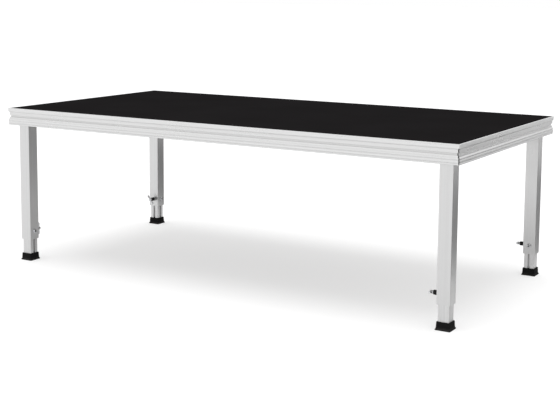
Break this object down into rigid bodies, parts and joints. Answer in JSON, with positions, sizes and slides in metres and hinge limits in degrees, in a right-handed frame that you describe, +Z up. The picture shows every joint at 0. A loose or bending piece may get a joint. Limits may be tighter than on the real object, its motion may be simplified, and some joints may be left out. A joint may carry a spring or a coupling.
{
  "type": "stage riser platform",
  "caption": "Rectangular stage deck with a black anti-slip top in a grooved aluminium frame, on telescopic square legs with clamp screws and rubber feet.",
  "frame": {"origin": "on the floor under the middle of the deck", "axes": "+X along the deck's length, +Y from the front to the rear, +Z up"},
  "size_m": [2, 1, 0.645],
  "materials": {
    "rail_aluminium": "natural anodised extrusion",
    "leg_aluminium": "natural anodised tube",
    "inner_aluminium": "mill-finished extrusion",
    "frame_aluminium": "mill finish",
    "zinc_steel": "bright zinc plate",
    "plywood": "film-faced birch plywood",
    "antislip_film": "fine pressed hexagon grain, matt",
    "black_plastic": "moulded",
    "foot_rubber": "matt moulded rubber"
  },
  "bodies": {
    "deck": {"deck_board": "plywood", "antislip_film": "antislip_film", "front_rail": "rail_aluminium", "rear_rail": "rail_aluminium", "left_rail": "rail_aluminium", "right_rail": "rail_aluminium", "beam_brackets": "frame_aluminium", "bracket_screws": "zinc_steel", "board_screws": "zinc_steel", "corner_angles": "frame_aluminium", "cross_beam_left": "frame_aluminium", "cross_beam_middle": "frame_aluminium", "cross_beam_right": "frame_aluminium", "corner_socket_front_left": "frame_aluminium", "corner_socket_front_right": "frame_aluminium", "corner_socket_rear_left": "frame_aluminium", "corner_socket_rear_right": "frame_aluminium"},
    "knob_front_left": {"socket_knob_front_left": "black_plastic"},
    "leg_front_left": {"outer_tube_front_left": "leg_aluminium", "thread_inserts_front_left": "zinc_steel", "guide_screw_front_left": "zinc_steel"},
    "inner_leg_front_left": {"inner_tube_front_left": "inner_aluminium", "guide_plug_front_left": "black_plastic", "foot_front_left": "foot_rubber"},
    "clamp_front_left": {"clamp_screw_front_left": "zinc_steel", "clamp_hub_front_left": "black_plastic", "clamp_bar_front_left": "zinc_steel"},
    "knob_front_right": {"socket_knob_front_right": "black_plastic"},
    "leg_front_right": {"outer_tube_front_right": "leg_aluminium", "thread_inserts_front_right": "zinc_steel", "guide_screw_front_right": "zinc_steel"},
    "inner_leg_front_right": {"inner_tube_front_right": "inner_aluminium", "guide_plug_front_right": "black_plastic", "foot_front_right": "foot_rubber"},
    "clamp_front_right": {"clamp_screw_front_right": "zinc_steel", "clamp_hub_front_right": "black_plastic", "clamp_bar_front_right": "zinc_steel"},
    "knob_rear_left": {"socket_knob_rear_left": "black_plastic"},
    "leg_rear_left": {"outer_tube_rear_left": "leg_aluminium", "thread_inserts_rear_left": "zinc_steel", "guide_screw_rear_left": "zinc_steel"},
    "inner_leg_rear_left": {"inner_tube_rear_left": "inner_aluminium", "guide_plug_rear_left": "black_plastic", "foot_rear_left": "foot_rubber"},
    "clamp_rear_left": {"clamp_screw_rear_left": "zinc_steel", "clamp_hub_rear_left": "black_plastic", "clamp_bar_rear_left": "zinc_steel"},
    "knob_rear_right": {"socket_knob_rear_right": "black_plastic"},
    "leg_rear_right": {"outer_tube_rear_right": "leg_aluminium", "thread_inserts_rear_right": "zinc_steel", "guide_screw_rear_right": "zinc_steel"},
    "inner_leg_rear_right": {"inner_tube_rear_right": "inner_aluminium", "guide_plug_rear_right": "black_plastic", "foot_rear_right": "foot_rubber"},
    "clamp_rear_right": {"clamp_screw_rear_right": "zinc_steel", "clamp_hub_rear_right": "black_plastic", "clamp_bar_rear_right": "zinc_steel"}
  },
  "joints": [
    {"name": "leg_unplug_front_left", "type": "slide", "parent": "deck", "child": "leg_front_left", "axis": [0, 0, -1], "range_m": [0, 0.045]},
    {"name": "leg_extend_front_left", "type": "slide", "parent": "leg_front_left", "child": "inner_leg_front_left", "axis": [0, 0, -1], "range_m": [-0.058, 0.355]},
    {"name": "clamp_turn_front_left", "type": "hinge", "parent": "leg_front_left", "child": "clamp_front_left", "pos_m": [-0.943, -0.418, 0.123], "axis": [0, 1, 0], "range_deg": [0, 450]},
    {"name": "knob_turn_front_left", "type": "hinge", "parent": "deck", "child": "knob_front_left", "pos_m": [-0.913, -0.443, 0.60235], "axis": [1, 0, 0], "range_deg": [0, 450]},
    {"name": "leg_unplug_front_right", "type": "slide", "parent": "deck", "child": "leg_front_right", "axis": [0, 0, -1], "range_m": [0, 0.045]},
    {"name": "leg_extend_front_right", "type": "slide", "parent": "leg_front_right", "child": "inner_leg_front_right", "axis": [0, 0, -1], "range_m": [-0.058, 0.355]},
    {"name": "clamp_turn_front_right", "type": "hinge", "parent": "leg_front_right", "child": "clamp_front_right", "pos_m": [0.918, -0.443, 0.123], "axis": [-1, 0, 0], "range_deg": [0, 450]},
    {"name": "knob_turn_front_right", "type": "hinge", "parent": "deck", "child": "knob_front_right", "pos_m": [0.913, -0.443, 0.60235], "axis": [-1, 0, 0], "range_deg": [0, 450]},
    {"name": "leg_unplug_rear_left", "type": "slide", "parent": "deck", "child": "leg_rear_left", "axis": [0, 0, -1], "range_m": [0, 0.045]},
    {"name": "leg_extend_rear_left", "type": "slide", "parent": "leg_rear_left", "child": "inner_leg_rear_left", "axis": [0, 0, -1], "range_m": [-0.058, 0.355]},
    {"name": "clamp_turn_rear_left", "type": "hinge", "parent": "leg_rear_left", "child": "clamp_rear_left", "pos_m": [-0.943, 0.418, 0.123], "axis": [0, -1, 0], "range_deg": [0, 450]},
    {"name": "knob_turn_rear_left", "type": "hinge", "parent": "deck", "child": "knob_rear_left", "pos_m": [-0.913, 0.443, 0.60235], "axis": [1, 0, 0], "range_deg": [0, 450]},
    {"name": "leg_unplug_rear_right", "type": "slide", "parent": "deck", "child": "leg_rear_right", "axis": [0, 0, -1], "range_m": [0, 0.045]},
    {"name": "leg_extend_rear_right", "type": "slide", "parent": "leg_rear_right", "child": "inner_leg_rear_right", "axis": [0, 0, -1], "range_m": [-0.058, 0.355]},
    {"name": "clamp_turn_rear_right", "type": "hinge", "parent": "leg_rear_right", "child": "clamp_rear_right", "pos_m": [0.918, 0.443, 0.123], "axis": [-1, 0, 0], "range_deg": [0, 450]},
    {"name": "knob_turn_rear_right", "type": "hinge", "parent": "deck", "child": "knob_rear_right", "pos_m": [0.913, 0.443, 0.60235], "axis": [-1, 0, 0], "range_deg": [0, 450]}
  ]
}
